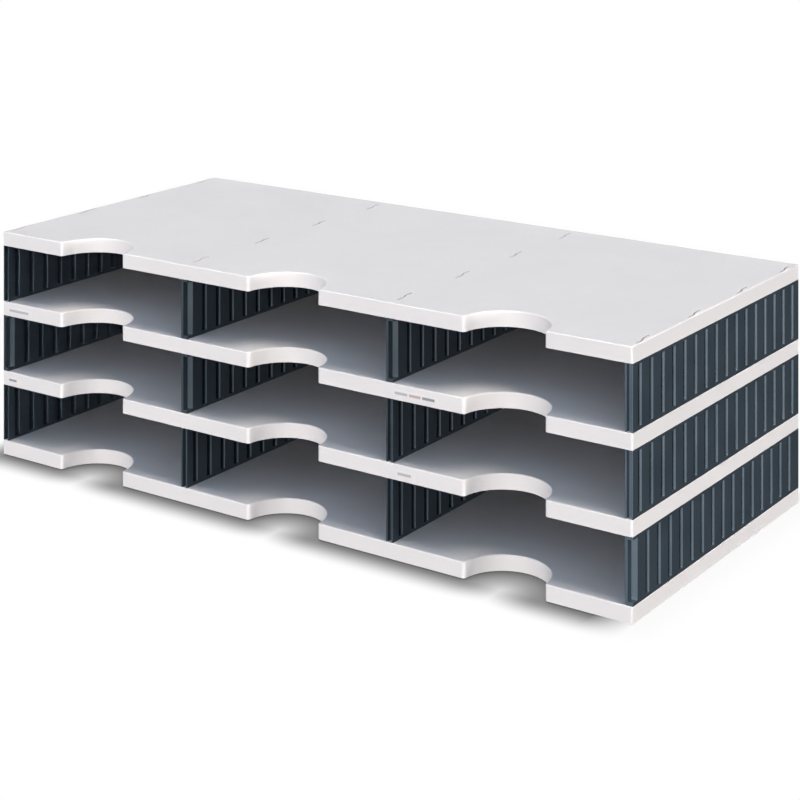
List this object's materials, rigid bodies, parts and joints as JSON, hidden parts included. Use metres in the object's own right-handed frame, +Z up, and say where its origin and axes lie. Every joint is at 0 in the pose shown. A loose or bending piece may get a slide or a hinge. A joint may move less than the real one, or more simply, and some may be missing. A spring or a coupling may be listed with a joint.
{
  "type": "desktop file sorter",
  "caption": "Wide desktop file sorter: light grey trays with finger notches, plugged onto dark corrugated dividers to form a grid of open-fronted letter compartments.",
  "frame": {"origin": "centre of the footprint, on the table surface under the feet", "axes": "+X along the row of columns to the user's right, -Y out of the open front, +Z up"},
  "size_m": [0.723, 0.3312, 0.227],
  "materials": {
    "tray_plastic": "fine-textured light grey polystyrene",
    "divider_plastic": "satin anthracite, faintly blue",
    "foot_rubber": "dull black",
    "label_film": "matt white film with plain grey bars"
  },
  "bodies": {
    "root": {"base_tray": "tray_plastic", "lower_shelf": "tray_plastic", "upper_shelf": "tray_plastic", "top_tray": "tray_plastic", "bottom_left_end_divider": "divider_plastic", "bottom_left_inner_divider": "divider_plastic", "bottom_right_inner_divider": "divider_plastic", "bottom_right_end_divider": "divider_plastic", "middle_left_end_divider": "divider_plastic", "middle_left_inner_divider": "divider_plastic", "middle_right_inner_divider": "divider_plastic", "middle_right_end_divider": "divider_plastic", "top_left_end_divider": "divider_plastic", "top_left_inner_divider": "divider_plastic", "top_right_inner_divider": "divider_plastic", "top_right_end_divider": "divider_plastic", "foot_front_left_outer": "foot_rubber", "foot_front_left_inner": "foot_rubber", "foot_front_right_inner": "foot_rubber", "foot_front_right_outer": "foot_rubber", "foot_rear_left_outer": "foot_rubber", "foot_rear_left_inner": "foot_rubber", "foot_rear_right_inner": "foot_rubber", "foot_rear_right_outer": "foot_rubber", "label_lower_shelf_left": "label_film", "label_lower_shelf_right": "label_film", "label_upper_shelf_left": "label_film", "label_upper_shelf_right": "label_film"}
  },
  "joints": []
}
